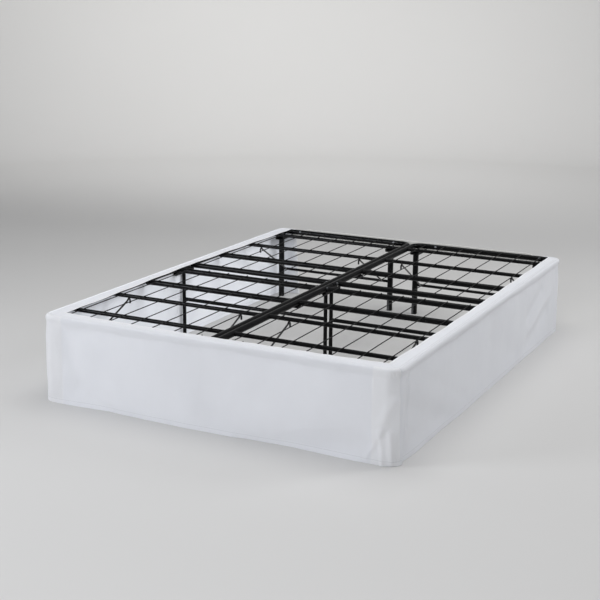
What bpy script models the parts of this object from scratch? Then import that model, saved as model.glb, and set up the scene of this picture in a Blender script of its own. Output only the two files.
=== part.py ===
"""Bed skirt, in the shape in which it hangs over the folding platform bed frame that it fits.

Metres, +Z up, +Y towards the head of the bed. The origin is on the floor under the middle of the bed.
The skirt lies on the frame's rim on three sides and hangs to the floor. The head side stays open, but for
two short returns at its corners and an elastic band between them.
"""
import math

import bmesh
import bpy
import numpy as np
from mathutils import Vector

# Frame: two halves side by side, each of which folds near the middle of the bed.
FRAME_WIDTH = 1.524
FRAME_LENGTH = 2.019
FRAME_HEIGHT = 0.354
RAIL_RADIUS = 0.0125
RAIL_BEND = 0.045  # centre line of the bends between end rails and side rails
BEND_STEPS = 6
BEND_STUB = 0.004  # straight end of an end rail past its bend
HALVES_GAP = 0.002
FOLD_GAP = 0.004  # between the foot part and the head part of each side rail
FIT = 0.0004  # left between pieces that touch

FOLD_ROW = 0.018  # the fold lies this far past the middle of the bed, towards the head

# Cross tubes of each quarter: (name, distance from the fold, radius).
CROSS_TUBES = (
    ("fold", 0.060, 0.012),
    ("inner", 0.319, 0.012),
    ("outer", 0.580, 0.0085),
    ("end", 0.862, 0.0085),
)
WIRE_RADIUS = 0.002
WIRE_COUNT = 7
WIRE_FIRST = 0.080  # from the middle of the bed to the first wire
WIRE_PITCH = 0.0988
WELD_DEPTH = 0.0006

# Legs. Both halves are the same module, so their places are given from a half's left rail.
LEG_PLACES = (("left", 0.031), ("right", 0.658))
LEG_ROW = 0.935  # from the middle of the bed to the end legs
LEG_WIDTH, LEG_DEPTH = 0.025, 0.020
LEG_EDGE = 0.003
BRACKET_FROM, BRACKET_TO = -0.0135, 0.0325  # along X, from the leg's axis
BRACKET_DEPTH = 0.126
BRACKET_HEIGHT = 0.014
MIDDLE_LEG_RADIUS = 0.0085
FOLD_BRACKET = (0.018, 0.150, 0.016)
END_BAR_RADIUS, END_BAR_Z = 0.007, 0.152
MIDDLE_BAR_RADIUS, MIDDLE_BAR_Z = 0.0085, 0.186
# Braces: (side, place of the lower end, place of the upper end), from a half's left rail.
BRACES = (("left", 0.069, 0.093), ("right", 0.620, 0.6345))
BRACE_RADIUS = 0.004
HOOK_RADIUS = 0.009
HOOK_DROP = 0.012
HOOK_RAISE = 0.0007  # as the flats of the round sections face each other
CLIP = (0.052, 0.030, 0.008)
CLIP_ROW = 0.3125

# Skirt.
CLOTH = 0.0012
CLOTH_REST = 0.0003  # between the cloth and what it lies on
SIDE_CLEARANCE = 0.002  # between the hanging cloth and the rails
# Each band is narrower away from the corners: (place along the band, outer face to inner edge).
BAND_WIDTHS = {
    "foot": ((-0.69, 0.072), (-0.60, 0.066), (-0.50, 0.059), (-0.30, 0.053), (-0.10, 0.052), (0.10, 0.055),
             (0.30, 0.058), (0.50, 0.061), (0.60, 0.066), (0.69, 0.072)),
    "left": ((-0.94, 0.072), (-0.85, 0.0715), (-0.70, 0.069), (-0.50, 0.063), (-0.30, 0.056), (-0.10, 0.051),
             (0.05, 0.050), (0.30, 0.054), (0.50, 0.059), (0.70, 0.065), (0.90, 0.070), (1.01, 0.072)),
    "right": ((-0.94, 0.072), (-0.85, 0.0705), (-0.70, 0.067), (-0.50, 0.063), (-0.30, 0.061), (0.0, 0.0605),
              (0.30, 0.060), (0.80, 0.061), (1.01, 0.062)),
}
BAND_WIDTH = BAND_WIDTHS["foot"][0][1]  # at the corners
FOOT_CORNER = 0.055
HEAD_CORNER = 0.045
RETURN_TOP, RETURN_FLOOR = 0.094, 0.112  # reach of the returns from the skirt's side faces
CORNER_WRAP = math.radians(80)  # how far the foot drop turns round its corners
UNDERLAP = 0.045  # how far a side drop runs on behind the foot drop, from the foot corner
LAP_GAP = 0.0006
SEAM_GAP = 0.0003
MITRE_GAP = 0.0002  # on each side of a mitre
DRAW_IN = 0.0035  # how far the cloth is drawn in under the rail
HEM_FLARE = 0.0030
ELASTIC_HEIGHT = 0.038
ELASTIC_PROUD = 0.005  # above the end rail, in the middle
ELASTIC_DIP = 0.021  # how much lower its ends are, behind the returns
ELASTIC_LAP = 0.020

WHITE_CLOTH = (0.80, 0.82, 0.86)
WHITE_ELASTIC = (0.82, 0.82, 0.80)
BLACK_PAINT = (0.012, 0.012, 0.013)

# Worked out from the above.
RAIL_Z = FRAME_HEIGHT - RAIL_RADIUS
OUTER_RAIL_X = FRAME_WIDTH / 2 - RAIL_RADIUS
INNER_RAIL_X = HALVES_GAP / 2 + RAIL_RADIUS
END_RAIL_Y = FRAME_LENGTH / 2 - RAIL_RADIUS
UNDER_RAIL_Z = FRAME_HEIGHT - 2 * RAIL_RADIUS - FIT
TUBE_TOP = FRAME_HEIGHT - 2 * WIRE_RADIUS + WELD_DEPTH
HALVES = (("left", -1, -OUTER_RAIL_X), ("right", 1, INNER_RAIL_X))
ENDS = (("foot", -1), ("head", 1))

SKIRT_TOP = FRAME_HEIGHT + CLOTH_REST + CLOTH
SHOULDER = RAIL_RADIUS + SIDE_CLEARANCE + CLOTH  # from the outer face to the top of the rail
HALF_WIDTH = OUTER_RAIL_X + SHOULDER
HALF_LENGTH = END_RAIL_Y + SHOULDER
FOOT_RUN = HALF_WIDTH - FOOT_CORNER
FOOT_ARC = FOOT_CORNER * math.pi / 2
MITRE = FOOT_RUN + FOOT_ARC / 2
WRAP = FOOT_RUN + FOOT_CORNER * CORNER_WRAP
SIDE_RUN = 2 * HALF_LENGTH - FOOT_CORNER - HEAD_CORNER
HEAD_ARC = HEAD_CORNER * math.pi / 2
SIDE_START = FOOT_RUN + FOOT_ARC
SIDE_END = SIDE_START + SIDE_RUN
RETURN_START = SIDE_END + HEAD_ARC

# Main folds of the hanging cloth. Each is a soft trough, or a ridge where depth is below zero, along a
# straight line on the cloth: from (along, height) at its upper end to the same at its lower end. On the
# foot drop, along runs from the middle of the foot to the right. On a side drop it runs from the point
# where the side's straight face starts, near the foot, towards the head.
FOLDS = (
    # (drop, along and height of the upper end, the same of the lower end, half width, depth)
    ("foot", (-0.685, 0.300), (-0.640, 0.110), 0.026, 0.0050),
    ("foot", (-0.640, 0.120), (-0.330, 0.010), 0.040, 0.0045),
    ("foot", (-0.727, 0.300), (-0.735, 0.020), 0.018, -0.0025),
    ("foot", (0.672, 0.330), (0.672, 0.090), 0.010, 0.0015),
    ("foot", (0.690, 0.130), (0.060, 0.000), 0.045, 0.0045),
    ("foot", (0.712, 0.160), (0.640, 0.010), 0.016, -0.0040),
    ("foot", (0.735, 0.280), (0.690, 0.110), 0.016, 0.0045),
    ("foot", (0.757, 0.200), (0.745, 0.010), 0.016, -0.0035),
    ("right", (0.052, 0.330), (0.056, 0.110), 0.012, 0.0020),
    ("right", (0.060, 0.190), (0.480, 0.010), 0.050, 0.0045),
    ("right", (0.860, 0.260), (0.990, 0.060), 0.040, -0.0025),
    ("right", (1.010, 0.210), (1.060, 0.030), 0.035, 0.0025),
    ("right", (1.640, 0.270), (1.480, 0.200), 0.030, 0.0035),
    ("right", (1.840, 0.260), (1.530, 0.100), 0.034, 0.0050),
    ("right", (1.700, 0.250), (1.540, 0.160), 0.026, -0.0025),
    ("right", (1.880, 0.180), (1.800, 0.030), 0.030, -0.0035),
    ("left", (0.340, 0.320), (0.370, 0.060), 0.030, 0.0045),
    ("left", (0.760, 0.300), (0.700, 0.040), 0.034, 0.0035),
    ("left", (1.310, 0.310), (1.340, 0.050), 0.028, 0.0050),
    ("left", (1.560, 0.310), (1.600, 0.080), 0.026, 0.0045),
    ("left", (1.880, 0.310), (1.870, 0.050), 0.024, -0.0040),
)


def start_scene():
    """Empties the file and gives the collections for the part and for its helper shapes."""
    for obj in list(bpy.data.objects):
        bpy.data.objects.remove(obj, do_unlink=True)
    collections = []
    for name in ("bed_skirt_on_frame", "helper_shapes"):
        collection = bpy.data.collections.new(name)
        bpy.context.scene.collection.children.link(collection)
        collections.append(collection)
    collections[1].hide_render = True
    return collections


PART, HELPERS = start_scene()


def finish(name, color, roughness, metallic=0.0):
    material = bpy.data.materials.new(name)
    material.use_nodes = True
    surface = material.node_tree.nodes["Principled BSDF"]
    surface.inputs["Base Color"].default_value = (*color, 1.0)
    surface.inputs["Roughness"].default_value = roughness
    surface.inputs["Metallic"].default_value = metallic
    return material


CLOTH_FINISH = finish("white_woven_cloth", WHITE_CLOTH, 0.9)
ELASTIC_FINISH = finish("white_elastic", WHITE_ELASTIC, 0.85)
FRAME_FINISH = finish("black_powder_coat", BLACK_PAINT, 0.35)


def add_object(name, data, material, collection=None):
    obj = bpy.data.objects.new(name, data)
    if material:
        data.materials.append(material)
    (collection or PART).objects.link(obj)
    return obj


def add_mesh(name, shape, material, collection=None, smooth=True):
    """Turns a bmesh into an object, shaded smooth but for its sharp edges."""
    mesh = bpy.data.meshes.new(name)
    shape.to_mesh(mesh)
    shape.free()
    if smooth:
        mesh.shade_smooth()
        mesh.set_sharp_from_angle(angle=math.radians(40))
    return add_object(name, mesh, material, collection)


def add_box(shape, size, centre):
    made = bmesh.ops.create_cube(shape, size=1.0)["verts"]
    bmesh.ops.scale(shape, vec=size, verts=made)
    bmesh.ops.translate(shape, vec=centre, verts=made)
    return made


def add_rod(shape, start, end, radius, sides):
    """A capped cylinder between two points."""
    start, end = Vector(start), Vector(end)
    made = bmesh.ops.create_cone(
        shape, cap_ends=True, segments=sides, radius1=radius, radius2=radius, depth=(end - start).length
    )["verts"]
    turn = (end - start).to_track_quat("Z", "Y").to_matrix()
    bmesh.ops.rotate(shape, cent=(0, 0, 0), matrix=turn, verts=made)
    bmesh.ops.translate(shape, vec=(start + end) / 2, verts=made)
    return made


def rod(name, start, end, radius, sides=12):
    shape = bmesh.new()
    add_rod(shape, start, end, radius, sides)
    return add_mesh(name, shape, FRAME_FINISH)


def bent_rod(name, points, radius, bevel_resolution=2):
    """A tube of round section along a line of points."""
    curve = bpy.data.curves.new(name, "CURVE")
    curve.dimensions = "3D"
    curve.bevel_depth = radius
    curve.bevel_resolution = bevel_resolution
    curve.use_fill_caps = True
    spline = curve.splines.new("POLY")
    spline.points.add(len(points) - 1)
    for point, place in zip(spline.points, points):
        point.co = (*place, 1.0)
    return add_object(name, curve, FRAME_FINISH)


def weld(obj, shape):
    """Joins a helper shape to an object with a Boolean union."""
    helper = add_mesh(obj.name + "_weld", shape, None, HELPERS, smooth=False)
    helper.hide_render = True
    helper.display_type = "WIRE"
    union = obj.modifiers.new("weld", "BOOLEAN")
    union.operation = "UNION"
    union.object = helper


def arc(centre, radius, start, end, steps):
    """Points of an arc in plan, angles in degrees from +X."""
    angles = np.radians(np.linspace(start, end, steps + 1))
    return [(centre[0] + radius * math.cos(a), centre[1] + radius * math.sin(a)) for a in angles]


def build_rails(half, side, end, way):
    """The rails round one quarter: a bent end rail, and the two side rails that run from it to the fold."""
    inner, outer = side * INNER_RAIL_X, side * OUTER_RAIL_X
    low, high = sorted((inner, outer))
    bend_y = END_RAIL_Y - RAIL_BEND
    left = arc((low + RAIL_BEND, bend_y), RAIL_BEND, 180, 90, BEND_STEPS)
    right = arc((high - RAIL_BEND, bend_y), RAIL_BEND, 90, 0, BEND_STEPS)
    stub_y = bend_y - BEND_STUB
    line = [(low, stub_y)] + left + right + [(high, stub_y)]
    points = [(x, way * y, RAIL_Z) for x, y in line]
    bent_rod(f"end_rail_{half}_{end}", points, RAIL_RADIUS, bevel_resolution=4)
    for place, x in (("inner", inner), ("outer", outer)):
        start = (x, FOLD_ROW + way * FOLD_GAP / 2, RAIL_Z)
        rod(f"side_rail_{half}_{place}_{end}", start, (x, way * (stub_y - FIT), RAIL_Z), RAIL_RADIUS)


def build_deck(half, side, end, way):
    """One quarter's welded deck: cross tubes with wires over them."""
    tubes = bmesh.new()
    from_x = side * (INNER_RAIL_X + RAIL_RADIUS + FIT)
    to_x = side * (OUTER_RAIL_X - RAIL_RADIUS - FIT)
    for _, distance, radius in CROSS_TUBES:
        y, z = FOLD_ROW + way * distance, TUBE_TOP - radius
        add_rod(tubes, (from_x, y, z), (to_x, y, z), radius, 10)
    deck = add_mesh(f"deck_{half}_{end}", tubes, FRAME_FINISH)
    wires = bmesh.new()
    wire_z = FRAME_HEIGHT - WIRE_RADIUS
    rail_reach = math.sqrt(RAIL_RADIUS**2 - (wire_z - WIRE_RADIUS - RAIL_Z) ** 2)
    from_y = FOLD_ROW + way * (CROSS_TUBES[0][1] - CROSS_TUBES[0][2] / 2)
    to_y = way * (END_RAIL_Y - rail_reach - 2 * FIT)
    for index in range(WIRE_COUNT):
        x = side * (WIRE_FIRST + index * WIRE_PITCH)
        add_rod(wires, (x, from_y, wire_z), (x, to_y, wire_z), WIRE_RADIUS, 6)
    weld(deck, wires)


def build_end_legs(half, rail_x, end, way):
    """Two legs with their top brackets, the bar between them and a hooked brace from the bar to a tube."""
    y = way * LEG_ROW
    top = UNDER_RAIL_Z - BRACKET_HEIGHT
    for place, along in LEG_PLACES:
        x = rail_x + along
        leg = bmesh.new()
        add_box(leg, (LEG_WIDTH, LEG_DEPTH, top + BRACKET_HEIGHT / 2), (x, y, top / 2 + BRACKET_HEIGHT / 4))
        upright = [e for e in leg.edges if abs(e.verts[0].co.z - e.verts[1].co.z) > LEG_WIDTH]
        bmesh.ops.bevel(leg, geom=upright, offset=LEG_EDGE, segments=1, affect="EDGES")
        obj = add_mesh(f"leg_{half}_{place}_{end}", leg, FRAME_FINISH)
        bracket = bmesh.new()
        size = (BRACKET_TO - BRACKET_FROM, BRACKET_DEPTH, BRACKET_HEIGHT)
        add_box(bracket, size, (x + (BRACKET_FROM + BRACKET_TO) / 2, y, UNDER_RAIL_Z - BRACKET_HEIGHT / 2))
        weld(obj, bracket)
    from_x = rail_x + LEG_PLACES[0][1] + LEG_WIDTH / 2 + FIT
    to_x = rail_x + LEG_PLACES[1][1] - LEG_WIDTH / 2 - FIT
    rod(f"leg_bar_{half}_{end}", (from_x, y, END_BAR_Z), (to_x, y, END_BAR_Z), END_BAR_RADIUS, 10)
    for place, low, high in BRACES:
        build_brace(f"brace_{half}_{place}_{end}", rail_x + low, rail_x + high, way)


def build_brace(name, low_x, high_x, way):
    """A rod that leans on the leg bar and hooks up under the outer cross tube."""
    _, distance, tube_radius = CROSS_TUBES[2]
    tube_y = distance + way * FOLD_ROW
    low_y = LEG_ROW - END_BAR_RADIUS - BRACE_RADIUS - FIT
    hook_z = TUBE_TOP - 2 * tube_radius - BRACE_RADIUS - HOOK_RADIUS - FIT + HOOK_RAISE
    points = [(low_x, low_y, END_BAR_Z)]
    for angle in np.radians(range(30, 181, 30)):
        y = tube_y + HOOK_RADIUS * math.cos(angle)
        points.append((high_x, y, hook_z + HOOK_RADIUS * math.sin(angle)))
    points.append((high_x, tube_y - HOOK_RADIUS, hook_z - HOOK_DROP))
    bent_rod(name, [(x, way * y, z) for x, y, z in points], BRACE_RADIUS, bevel_resolution=1)


def build_middle_legs(half, side):
    """Round legs under the side rails by the fold, each with the bracket that carries both rail parts."""
    width, depth, height = FOLD_BRACKET
    leg_reach = MIDDLE_LEG_RADIUS + FIT
    for place, x in (("inner", side * INNER_RAIL_X), ("outer", side * OUTER_RAIL_X)):
        top = UNDER_RAIL_Z - height / 2
        leg = rod(f"middle_leg_{half}_{place}", (x, FOLD_ROW, 0), (x, FOLD_ROW, top), MIDDLE_LEG_RADIUS)
        bracket = bmesh.new()
        add_box(bracket, (width, depth, height), (x, FOLD_ROW, top))
        weld(leg, bracket)
    from_x = side * (INNER_RAIL_X + leg_reach)
    to_x = side * (OUTER_RAIL_X - leg_reach)
    start, end = (from_x, FOLD_ROW, MIDDLE_BAR_Z), (to_x, FOLD_ROW, MIDDLE_BAR_Z)
    rod(f"middle_bar_{half}", start, end, MIDDLE_BAR_RADIUS, 10)


def build_clip(end, way):
    """The plate under both inner side rails that holds the two halves together."""
    shape = bmesh.new()
    add_box(shape, CLIP, (0, way * CLIP_ROW, UNDER_RAIL_Z - CLIP[2] / 2))
    rim = [e for e in shape.edges if abs(e.verts[0].co.y - e.verts[1].co.y) > CLIP[1] / 2]
    bmesh.ops.bevel(shape, geom=rim, offset=CLIP[2] / 4, segments=1, affect="EDGES")
    add_mesh(f"halves_clip_{end}", shape, FRAME_FINISH)


def outline(along, inset):
    """Plan position and inward direction of points by their distance along the skirt's outer face.

    The distance starts at the middle of the foot and grows to the right: along the foot, round the foot
    corner, along the side, round the head corner and back along the head. Below zero it runs to the left.
    """
    side = np.where(along < 0, -1.0, 1.0)
    distance = np.abs(along)
    foot_angle = np.clip((distance - FOOT_RUN) / FOOT_CORNER, 0, math.pi / 2)
    head_angle = np.clip((distance - SIDE_END) / HEAD_CORNER, 0, math.pi / 2)
    x = np.minimum(distance, FOOT_RUN) + FOOT_CORNER * np.sin(foot_angle)
    y = -HALF_LENGTH + FOOT_CORNER * (1 - np.cos(foot_angle))
    y = y + np.clip(distance - SIDE_START, 0, SIDE_RUN) + HEAD_CORNER * np.sin(head_angle)
    x = x - HEAD_CORNER * (1 - np.cos(head_angle)) - np.maximum(distance - RETURN_START, 0)
    angle = foot_angle + head_angle
    inward_x, inward_y = -np.sin(angle), np.cos(angle)
    return side * (x + inset * inward_x), y + inset * inward_y


def fold_depth(drop, along, height):
    """How far the drop's folds stand in from its face: the sum of troughs with a bell-shaped section."""
    depth = np.zeros_like(along)
    for name, upper, lower, half_width, size in FOLDS:
        if name != drop:
            continue
        start, line = np.array(upper), np.array(lower) - np.array(upper)
        run = np.array([along - start[0], height - start[1]])
        place = np.clip((line @ run.reshape(2, -1)).reshape(along.shape) / (line @ line), 0, 1)
        across = np.hypot(run[0] - place * line[0], run[1] - place * line[1])
        depth += size * np.exp(-((across / half_width) ** 2))
    return depth


def shoulder(step):
    """Set-in and height of the cloth where it turns over the rail: step 0 is on top, step 1 at the side."""
    angle = step * math.pi / 2
    power = 2 / 2.6
    inset = SHOULDER * (1 - np.sin(angle) ** power)
    return inset, SKIRT_TOP - SHOULDER * (1 - np.cos(angle) ** power)


HANG_HEIGHTS = (0.0, 0.006, 0.045, 0.105, 0.175, 0.240, 0.290, 0.319)
SHOULDER_STEPS = (1.0, 0.72, 0.40, 0.12, 0.0)


def sheet(name, columns, rows, surface, material=CLOTH_FINISH, left_out=None):
    """A cloth sheet: a grid laid on a surface and given the cloth's thickness inwards.

    The surface gives x, y and z for arrays of columns and rows. Faces for which left_out holds, by the
    middle of their columns and rows, are taken away.
    """
    shape = bmesh.new()
    bmesh.ops.create_grid(shape, x_segments=len(columns) - 1, y_segments=len(rows) - 1, size=0.5)
    grid = np.array([vert.co[:2] for vert in shape.verts]) + 0.5
    column = np.array(columns)[np.rint(grid[:, 0] * (len(columns) - 1)).astype(int)]
    row = np.array(rows)[np.rint(grid[:, 1] * (len(rows) - 1)).astype(int)]
    if left_out:
        middles = [([column[v.index] for v in f.verts], [row[v.index] for v in f.verts]) for f in shape.faces]
        gone = [f for f, (c, r) in zip(shape.faces, middles) if left_out(np.mean(c), np.mean(r))]
    for vert, place in zip(shape.verts, np.array(surface(column, row)).T):
        vert.co = place
    if left_out:
        bmesh.ops.delete(shape, geom=gone, context="FACES")
    obj = add_mesh(name, shape, material)
    solid = obj.modifiers.new("thickness", "SOLIDIFY")
    solid.thickness = CLOTH
    solid.offset = -1
    solid.use_even_offset = True
    return obj


def stations(*parts):
    """Distances along the outline: (start, end, number of steps) for each part."""
    steps = [np.linspace(start, end, count + 1) for start, end, count in parts]
    return np.unique(np.round(np.concatenate(steps), 6))


def drop_surface(drop):
    """The hanging cloth of one side, as a surface over distance along the outline and row.

    Rows below 1 are heights of the hanging cloth. Rows from 1 to 2 turn it in over the rail. A side drop
    passes behind the foot drop, so there it follows the foot drop's folds, set in by the lap.
    """
    side = {"foot": 1, "right": 1, "left": -1}[drop]

    def surface(distance, row):
        hanging = row < 1
        height = np.where(hanging, np.maximum(row, HANG_HEIGHTS[1]), SKIRT_TOP)
        calm = np.clip((UNDER_RAIL_Z - height) / 0.03, 0, 1)
        lap_inset = 0.0
        if drop == "foot":
            folds = fold_depth("foot", distance, height)
        else:
            folds = fold_depth(drop, distance - SIDE_START, height)
            lap = np.clip((SIDE_START + 0.03 - distance) / 0.035, 0, 1)
            behind = np.clip((SIDE_START - distance) / 0.005, 0, 1)
            folds = folds * (1 - behind) + behind * fold_depth("foot", side * distance, height)
            lap_inset = lap * (CLOTH + LAP_GAP)
        on_head = np.clip((distance - SIDE_END) / HEAD_ARC, 0, 1)
        draw = DRAW_IN * np.exp(-(((height - UNDER_RAIL_Z + 0.010) / 0.022) ** 2)) * (1 - on_head)
        flare = HEM_FLARE * np.clip(1 - height / 0.25, 0, 1) ** 1.5
        hang = np.maximum(draw - flare + calm * folds, -HEM_FLARE) + lap_inset
        turn_inset, turn_height = shoulder(np.where(hanging, 1.0, 2 - row))
        if drop != "foot":
            past = np.clip((distance - RETURN_START) / (RETURN_TOP - HEAD_CORNER), 0, 1)
            lean = np.clip(1 - np.where(hanging, row, UNDER_RAIL_Z) / UNDER_RAIL_Z, 0, 1)
            distance = distance + past * lean * (RETURN_FLOOR - RETURN_TOP)
        x, y = outline(side * distance, np.where(hanging, hang, turn_inset))
        return x, y, np.where(hanging, row, turn_height)

    return surface


def build_drops():
    """The three hanging drops. The side drops' ends behind the foot drop stop below the rail."""
    rows = HANG_HEIGHTS + tuple(2 - step for step in SHOULDER_STEPS)
    lap_start = FOOT_RUN - UNDERLAP
    corner = stations((lap_start, FOOT_RUN, 2), (FOOT_RUN, MITRE, 3), (MITRE, WRAP, 2))
    foot = np.concatenate((-corner[::-1], stations((-lap_start, lap_start, 36))[1:-1], corner))
    sheet("drop_foot", foot, rows, drop_surface("foot"))
    emerge = WRAP + 2 * LAP_GAP
    side = stations(
        (emerge, SIDE_START, 1),
        (SIDE_START, SIDE_START + 0.06, 3),
        (SIDE_START + 0.06, SIDE_END, 44),
        (SIDE_END, RETURN_START, 5),
        (RETURN_START, RETURN_START + RETURN_TOP - HEAD_CORNER, 2),
    )
    side = np.concatenate((corner, side))

    def over_the_lap(distance, row):
        return distance < emerge and row > HANG_HEIGHTS[-1]

    sheet("drop_right", side, rows, drop_surface("right"), left_out=over_the_lap)
    sheet("drop_left", side[::-1], rows, drop_surface("left"), left_out=over_the_lap)


def band_width(name, place):
    """Width of a band at a place along it, read off its table in straight lines."""
    places, widths = zip(*BAND_WIDTHS[name])
    return np.interp(place, places, widths)


def build_bands():
    """The flat bands on top of the rim, mitred at the foot corners and cut square at the head."""
    outer_inset = SHOULDER + SEAM_GAP
    inner_x, inner_y = HALF_WIDTH - BAND_WIDTH, HALF_LENGTH - BAND_WIDTH
    half_gap = MITRE_GAP / (FOOT_CORNER - outer_inset) * FOOT_CORNER
    shift = MITRE_GAP * math.sqrt(2)

    def foot_band(distance, row):
        x, y = outline(distance, np.full_like(distance, outer_inset))
        along = x / x.max() * (inner_x - shift)
        across = band_width("foot", along) - HALF_LENGTH
        return x + row * (along - x), y + row * (across - y), np.full_like(x, SKIRT_TOP)

    def side_band(name, side):
        def surface(distance, row):
            x, y = outline(side * distance, np.full_like(distance, outer_inset))
            start, end = -inner_y + shift, y.max()
            along = start + (y - y.min()) / (y.max() - y.min()) * (end - start)
            across = side * (HALF_WIDTH - band_width(name, along))
            return x + row * (across - x), y + row * (along - y), np.full_like(x, SKIRT_TOP)

        return surface

    half_foot = stations((0, FOOT_RUN, 12), (FOOT_RUN, MITRE, 3))
    half_foot[-1] -= half_gap
    foot = np.concatenate((-half_foot[:0:-1], half_foot))
    side = stations((MITRE, WRAP, 2), (WRAP, SIDE_START, 1), (SIDE_START, SIDE_END, 24), (SIDE_END, RETURN_START, 5))
    side[0] += half_gap
    rows = (0.0, 0.5, 1.0)
    sheet("top_band_foot", foot, rows, foot_band)
    sheet("top_band_right", side, rows, side_band("right", 1))
    sheet("top_band_left", side[::-1], rows, side_band("left", -1))


def build_elastic():
    """The elastic band on the outside of the head rails. Its ends dip behind the returns."""
    reach = HALF_WIDTH - RETURN_TOP + ELASTIC_LAP
    y = HALF_LENGTH - CLOTH - FIT

    def surface(along, row):
        dip = np.clip((np.abs(along) - reach + 0.10) / (0.10 - ELASTIC_LAP), 0, 1)
        top = FRAME_HEIGHT + ELASTIC_PROUD - ELASTIC_DIP * dip * dip * (3 - 2 * dip)
        return -along, np.full_like(along, y), top - (1 - row) * ELASTIC_HEIGHT

    ends = stations((reach - 0.10, reach - ELASTIC_LAP, 5), (reach - ELASTIC_LAP, reach, 1))
    along = np.concatenate((-ends[::-1], stations((0.10 - reach, reach - 0.10, 8))[1:-1], ends))
    sheet("head_band", along, (0.0, 0.5, 1.0), surface, ELASTIC_FINISH)


def main():
    for half, side, rail_x in HALVES:
        for end, way in ENDS:
            build_rails(half, side, end, way)
            build_deck(half, side, end, way)
            build_end_legs(half, rail_x, end, way)
        build_middle_legs(half, side)
    for end, way in ENDS:
        build_clip(end, way)
    build_drops()
    build_bands()
    build_elastic()


main()
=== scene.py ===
"""Dresses the bed skirt and its folding platform frame: cloth, elastic, coated steel, bolts and a studio."""
import math

import bpy
import numpy as np
from mathutils import Matrix, Vector


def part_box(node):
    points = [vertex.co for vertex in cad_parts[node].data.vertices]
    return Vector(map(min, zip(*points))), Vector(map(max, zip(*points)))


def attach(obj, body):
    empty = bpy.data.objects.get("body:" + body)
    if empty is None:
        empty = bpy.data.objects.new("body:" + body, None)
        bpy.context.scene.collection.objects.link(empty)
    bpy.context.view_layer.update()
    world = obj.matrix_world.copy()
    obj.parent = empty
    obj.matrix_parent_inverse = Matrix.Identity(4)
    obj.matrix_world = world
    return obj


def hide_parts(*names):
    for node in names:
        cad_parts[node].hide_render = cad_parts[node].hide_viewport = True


bl_info = {
    "name": "Bed Skirt",
    "version": (1, 0, 0),
    "blender": (4, 5, 0),
    "location": "3D View > Sidebar > Bed Skirt",
    "description": "Builds the cloth, frame and finishes of a fitted bed skirt on a platform frame",
    "category": "Object",
}

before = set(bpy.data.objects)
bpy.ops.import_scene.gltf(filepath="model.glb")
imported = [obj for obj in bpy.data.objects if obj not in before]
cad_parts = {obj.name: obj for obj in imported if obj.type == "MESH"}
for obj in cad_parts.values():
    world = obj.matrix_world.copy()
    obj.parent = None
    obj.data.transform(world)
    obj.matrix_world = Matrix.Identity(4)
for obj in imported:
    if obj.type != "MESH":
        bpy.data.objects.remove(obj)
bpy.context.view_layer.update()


def node_span(node, axis):
    """Lowest and highest place of a frame node along an axis."""
    low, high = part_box(node)
    return low[axis], high[axis]


# Places read from the frame, in metres. The origin is on the floor under the middle of the bed.
RAIL_LOW_X, RAIL_HIGH_X = node_span("side_rail_right_outer_foot", 0)
RAIL_RADIUS = (RAIL_HIGH_X - RAIL_LOW_X) / 2
OUTER_RAIL_X = (RAIL_HIGH_X + RAIL_LOW_X) / 2
INNER_RAIL_X = sum(node_span("side_rail_right_inner_foot", 0)) / 2
RAIL_TOP = node_span("side_rail_right_outer_foot", 2)[1]
RAIL_Z = RAIL_TOP - RAIL_RADIUS
END_RAIL_Y = node_span("end_rail_right_head", 1)[1] - RAIL_RADIUS
RAIL_BEND = 0.045
FOLD_GAP = 0.004
SKIRT_TOP = node_span("top_band_foot", 2)[1]
LEG_TOP = node_span("leg_left_left_foot", 2)[1]
HALVES = (("left", -1, -OUTER_RAIL_X), ("right", 1, INNER_RAIL_X))
ENDS = (("foot", -1), ("head", 1))

# Cross tubes and wires of each quarter of the deck.
FOLD_ROW = 0.018  # the fold, past the middle of the bed
CROSS_TUBES = (
    # (distance from the fold, radius)
    (0.060, 0.012),
    (0.319, 0.012),
    (0.580, 0.0085),
    (0.862, 0.0085),
)
TUBE_TOP = 0.3506
WIRE_RADIUS = 0.002
WIRE_PITCH = 0.0988
WIRE_PLACES = 0.080 + WIRE_PITCH * np.arange(7)
LEG_PLACES = (0.031, 0.658)  # from a half's left rail
LEG_ROW = 0.935
LEG_SIZE = (0.025, 0.020)
BRACKET_SPAN = (-0.0135, 0.0325)
BRACKET_ROWS = {"foot": (0.872, 0.998), "head": (0.890, 0.998)}
BRACKET_HEIGHT = 0.014
MIDDLE_LEG_RADIUS = 0.0085
FOLD_BRACKET = (0.018, 0.150, 0.016)
END_BAR = (0.152, 0.007)  # height and radius
MIDDLE_BAR = (0.186, 0.0085)
BRACKET_SHEET = 0.0025
BRACES = ((0.069, 0.093), (0.620, 0.6345))  # of its foot and its hook, from a half's left rail
BRACE_RADIUS, HOOK_RADIUS, HOOK_DROP = 0.004, 0.009, 0.012
CLIP_ROW = 0.3125
BOLT_SIZE = 0.0042
BEAD_SIZE = (0.0032, 0.0036, 0.0010)  # of a weld bead, half its length, width and height
CORNER_STEPS = 4

# The skirt's outline in plan.
CLOTH = 0.0012
SHOULDER = RAIL_RADIUS + 0.002 + CLOTH
HALF_WIDTH = OUTER_RAIL_X + SHOULDER
HALF_LENGTH = END_RAIL_Y + SHOULDER
SHOULDER_Z = SKIRT_TOP - SHOULDER
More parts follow.
